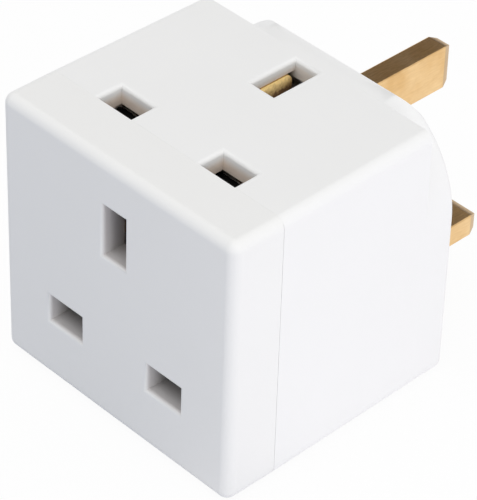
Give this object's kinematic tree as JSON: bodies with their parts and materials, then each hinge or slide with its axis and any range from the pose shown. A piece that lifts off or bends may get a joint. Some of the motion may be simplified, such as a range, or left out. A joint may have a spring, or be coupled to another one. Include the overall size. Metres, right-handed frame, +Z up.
{
  "type": "multi socket adapter",
  "caption": "White cube-shaped mains adapter with flat brass pins at the back, a shuttered socket in the front face and another in the top face.",
  "frame": {"origin": "middle of the part's box in X and Y, at the height of the flat underside", "axes": "+X across the front socket towards its line slot, +Y from the front socket face towards the pins, +Z up towards the top socket face"},
  "size_m": [0.0508, 0.0702, 0.0489],
  "materials": {
    "white_plastic": "satin",
    "inner_plastic": "matte",
    "black_plastic": "matte",
    "black_sleeve": "satin",
    "brass": "satin",
    "rivet_brass": "satin",
    "spring_steel": "satin",
    "zinc_steel": "zinc plated"
  },
  "bodies": {
    "root": {"front_cover": "white_plastic", "rear_housing": "white_plastic", "earth_pin": "brass", "line_pin": "brass", "neutral_pin": "brass", "line_sleeve": "black_sleeve", "neutral_sleeve": "black_sleeve", "earth_strip": "brass", "line_strip": "brass", "neutral_strip": "brass", "front_earth_clip": "brass", "top_earth_clip": "brass", "front_line_clip": "brass", "top_line_clip": "brass", "front_neutral_clip": "brass", "top_neutral_clip": "brass", "contact_rivets": "rivet_brass", "front_shutter_plate": "inner_plastic", "top_shutter_plate": "inner_plastic", "housing_screws": "zinc_steel"},
    "front_shutter_body": {"front_shutter": "black_plastic", "front_shutter_spring": "spring_steel"},
    "top_shutter_body": {"top_shutter": "black_plastic", "top_shutter_spring": "spring_steel"}
  },
  "joints": [
    {"name": "front_shutter_slide", "type": "slide", "parent": "root", "child": "front_shutter_body", "axis": [0, 0, -1], "range_m": [0, 0.0054], "stiffness_N_per_m": 30, "springref_m": -0.006, "deforming": ["front_shutter_spring"]},
    {"name": "top_shutter_slide", "type": "slide", "parent": "root", "child": "top_shutter_body", "axis": [0, -1, 0], "range_m": [0, 0.0054], "stiffness_N_per_m": 30, "springref_m": -0.006, "deforming": ["top_shutter_spring"]}
  ]
}
